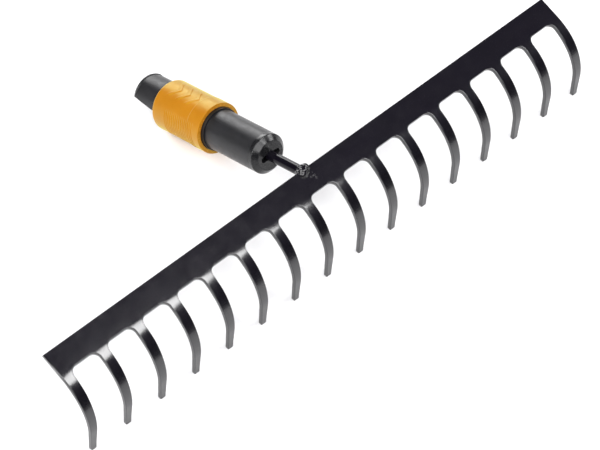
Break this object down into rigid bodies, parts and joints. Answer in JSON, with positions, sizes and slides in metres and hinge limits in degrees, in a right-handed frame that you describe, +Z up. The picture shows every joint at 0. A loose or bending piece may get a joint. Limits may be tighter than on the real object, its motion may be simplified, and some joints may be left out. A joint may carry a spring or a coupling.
{
  "type": "garden rake head",
  "caption": "Steel soil rake head with curved tines on a stamped bar, and a moulded socket with a sprung lock sleeve that takes a push-in handle.",
  "frame": {"origin": "on the ground, under the middle of the overall box, with the head lying on its tine tips and the rear rim of its lock sleeve", "axes": "+X across the rake along its bar, +Y from the tines towards the mouth of the handle socket, +Z up"},
  "size_m": [0.418, 0.1852, 0.0607],
  "materials": {
    "plate_steel": "black stoved enamel, satin gloss",
    "tang_steel": "black stoved enamel, satin gloss",
    "weld": "black enamel over a rough weld",
    "cap_plastic": "moulded, satin",
    "body_plastic": "moulded, fine matt texture",
    "zinc_steel": "zinc plated",
    "sleeve_plastic": "moulded, orange",
    "bush_plastic": "moulded, slippery",
    "spring_steel": "oiled spring steel",
    "pin_steel": "ground"
  },
  "bodies": {
    "head": {"rake_plate": "plate_steel", "tang_rod": "tang_steel", "weld_bead": "weld", "front_cap": "cap_plastic", "socket_body": "body_plastic", "tang_washer": "zinc_steel", "tang_nut": "zinc_steel", "socket_floor": "cap_plastic", "stop_ring": "spring_steel", "return_spring": "spring_steel"},
    "sleeve": {"lock_sleeve": "sleeve_plastic", "sleeve_bush": "bush_plastic"},
    "pin_left": {"lock_pin_left": "pin_steel"},
    "pin_right": {"lock_pin_right": "pin_steel"}
  },
  "joints": [
    {"name": "sleeve_slide", "type": "slide", "parent": "head", "child": "sleeve", "axis": [0, -0.953, 0.3029], "range_m": [0, 0.008], "stiffness_N_per_m": 900, "springref_m": -0.004, "deforming": ["return_spring"]},
    {"name": "pin_left_slide", "type": "slide", "parent": "head", "child": "pin_left", "axis": [-1, 0, 0], "range_m": [0, 0.0016]},
    {"name": "pin_right_slide", "type": "slide", "parent": "head", "child": "pin_right", "axis": [1, 0, 0], "range_m": [0, 0.0016]}
  ],
  "couplings": [
    {"joint": "pin_left_slide", "follows": "sleeve_slide", "ratio": 0.2},
    {"joint": "pin_right_slide", "follows": "sleeve_slide", "ratio": 0.2}
  ]
}
